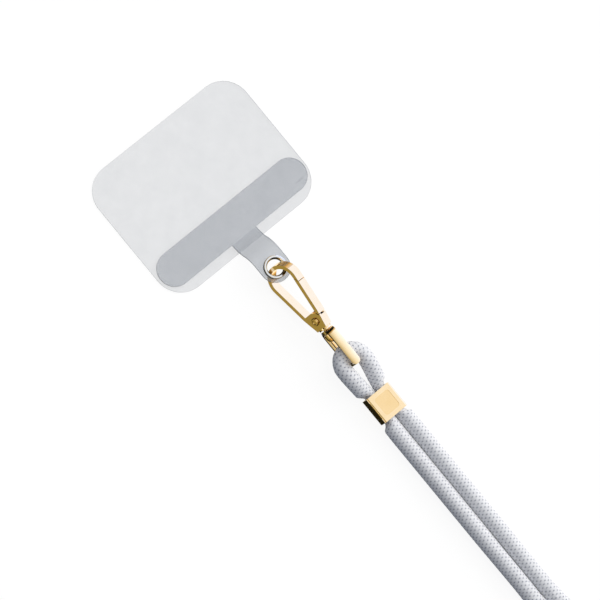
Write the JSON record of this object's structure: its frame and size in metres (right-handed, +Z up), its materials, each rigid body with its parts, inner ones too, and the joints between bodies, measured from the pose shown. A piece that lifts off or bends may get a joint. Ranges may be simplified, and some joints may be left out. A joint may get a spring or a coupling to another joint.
{
  "type": "phone lanyard",
  "caption": "Phone lanyard: a clear stick-in patch with an eyelet tab, a sprung snap hook on a swivel, and a long braided cord loop held by a metal clamp.",
  "frame": {"origin": "centre of the patch's underside, the adhesive face", "axes": "+X along the lanyard from the patch to the cord, +Z up from the adhesive face, +Y across"},
  "size_m": [0.2331, 0.068, 0.0093],
  "materials": {
    "clear_film": "clear glossy film",
    "soft_plastic": "clear soft plastic, slightly milky",
    "nickel": "polished nickel plate",
    "gold": "polished pale gold plate",
    "spring_steel": "bare spring steel",
    "braid": "fine pale grey braid"
  },
  "bodies": {
    "anchor_and_hook": {"adhesive_pad": "clear_film", "tether_strip": "soft_plastic", "grommet": "nickel", "grommet_washer": "nickel", "hook_body": "gold", "gate_rivet": "gold", "gate_spring": "spring_steel", "swivel_stud": "gold"},
    "gate": {"hook_gate": "gold"},
    "cord_end": {"bail": "gold", "cord_clamp": "gold", "cord_bight": "braid", "cord_lead_a": "braid", "cord_lead_b": "braid", "cord_coil": "braid"}
  },
  "joints": [
    {"name": "gate_hinge", "type": "hinge", "parent": "anchor_and_hook", "child": "gate", "pos_m": [0.04437, 0, 0.00469], "axis": [0, -0.848, 0.5299], "range_deg": [0, 22], "stiffness_Nm_per_rad": 0.004, "springref_deg": -20.05},
    {"name": "bail_swivel", "type": "hinge", "parent": "anchor_and_hook", "child": "cord_end", "pos_m": [0.0481, 0, 0.00469], "axis": [1, 0, 0], "continuous": true}
  ]
}
